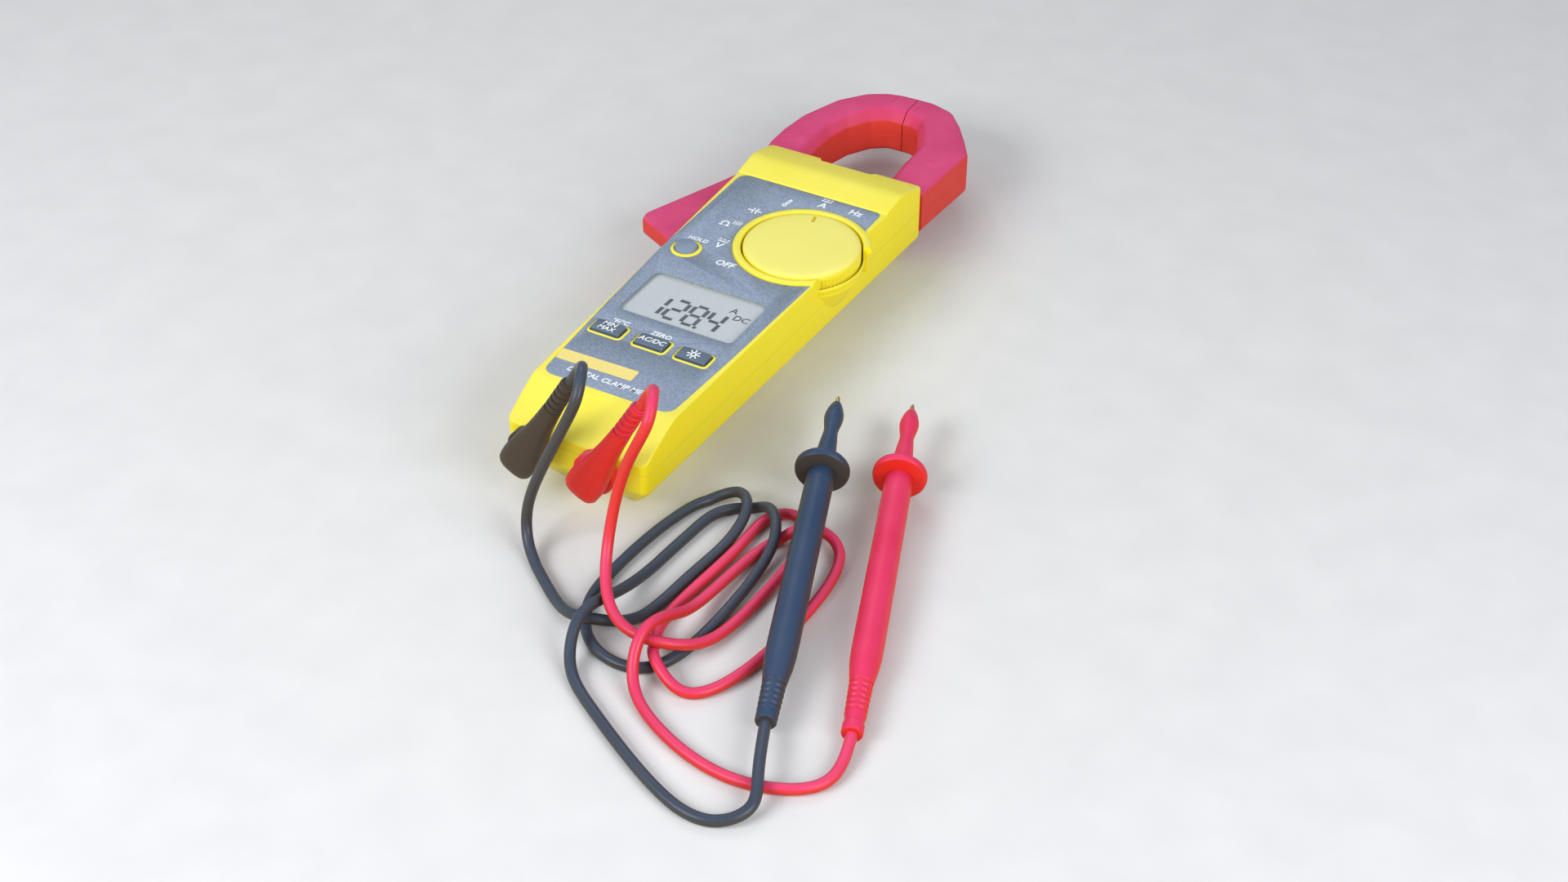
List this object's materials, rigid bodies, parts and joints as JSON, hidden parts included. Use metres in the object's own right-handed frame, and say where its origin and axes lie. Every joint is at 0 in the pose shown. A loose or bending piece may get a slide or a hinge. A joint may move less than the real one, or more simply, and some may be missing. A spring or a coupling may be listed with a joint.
{
  "type": "clamp meter",
  "caption": "Hand-held clamp meter lying on its back, with a sprung jaw, rotary range knob, display, keys and two test leads that run to their probes.",
  "frame": {"origin": "on the flat back face, on the case's centre line, half way along the meter from the jack end to the top of the jaws", "axes": "+Y along the meter from the input jacks to the jaws, +Z out of the front face with the display, +X to the side where the knob stands out of the case"},
  "size_m": [0.1544, 0.2911, 0.0585],
  "materials": {
    "case_yellow": "fine moulded texture, satin, paler where rubbed on the edges",
    "label_grey": "printed film with a fine speckle and a yellow margin",
    "lens_clear": "clear flat window, glossy",
    "lcd_grey": "pale grey-green display with dark segments",
    "board_green": "solder resist",
    "nickel": "plated, slightly dull",
    "steel": "zinc plated",
    "brass": "drawn, lightly tarnished",
    "jaw_red": "moulded, satin, slightly pink where the light strikes",
    "core_iron": "laminated, dark",
    "part_black": "moulded",
    "pad_grey": "moulded silicone",
    "key_slate": "satin, printed legends",
    "cell_wrap": "printed sleeve",
    "lead_black": "soft, satin",
    "lead_red": "soft, satin",
    "grip_black": "moulded, satin",
    "grip_red": "moulded, satin"
  },
  "bodies": {
    "root": {"rear_case": "case_yellow", "front_case": "case_yellow", "front_label": "label_grey", "lcd_lens": "lens_clear", "lcd_panel": "lcd_grey", "circuit_board": "board_green", "input_jack_black": "brass", "input_jack_red": "brass", "battery_door": "case_yellow", "battery_door_screw": "steel", "batteries": "cell_wrap", "battery_contacts": "nickel", "buzzer": "part_black", "keypad_membrane": "pad_grey", "case_screws": "steel", "jaw_screws": "steel", "pivot_pin": "nickel", "jaw_spring": "nickel", "fixed_jaw_front": "jaw_red", "fixed_jaw_back": "jaw_red", "fixed_core": "core_iron", "hall_sensor": "part_black", "plug_body_black": "grip_black", "plug_pin_black": "nickel", "strain_relief_black": "grip_black", "lead_black": "lead_black", "probe_handle_black": "grip_black", "finger_guard_black": "grip_black", "tip_sleeve_black": "grip_black", "probe_tip_black": "brass", "plug_body_red": "grip_red", "plug_pin_red": "nickel", "strain_relief_red": "grip_red", "lead_red": "lead_red", "probe_handle_red": "grip_red", "finger_guard_red": "grip_red", "tip_sleeve_red": "grip_red", "probe_tip_red": "brass"},
    "moving_jaw": {"moving_jaw_front": "jaw_red", "moving_jaw_back": "jaw_red", "moving_core": "core_iron"},
    "knob": {"rotary_knob": "case_yellow", "contact_wiper": "brass", "knob_retainer": "steel"},
    "hold": {"hold_button": "key_slate"},
    "left_key": {"key_left": "key_slate"},
    "middle_key": {"key_middle": "key_slate"},
    "right_key": {"key_right": "key_slate"}
  },
  "joints": [
    {"name": "jaw_pivot", "type": "hinge", "parent": "root", "child": "moving_jaw", "pos_m": [-0.014, 0.042, 0.0145], "axis": [0, 0, 1], "range_deg": [0, 20], "stiffness_Nm_per_rad": 0.3},
    {"name": "knob_turn", "type": "hinge", "parent": "root", "child": "knob", "pos_m": [0.012, 0, 0.024], "axis": [0, 0, 1], "range_deg": [-25.5, 127.5]},
    {"name": "hold_press", "type": "slide", "parent": "root", "child": "hold", "axis": [0, 0, -1], "range_m": [0, 0.0009], "stiffness_N_per_m": 900},
    {"name": "left_key_press", "type": "slide", "parent": "root", "child": "left_key", "axis": [0, 0, -1], "range_m": [0, 0.0008], "stiffness_N_per_m": 900},
    {"name": "middle_key_press", "type": "slide", "parent": "root", "child": "middle_key", "axis": [0, 0, -1], "range_m": [0, 0.0008], "stiffness_N_per_m": 900},
    {"name": "right_key_press", "type": "slide", "parent": "root", "child": "right_key", "axis": [0, 0, -1], "range_m": [0, 0.0008], "stiffness_N_per_m": 900}
  ]
}
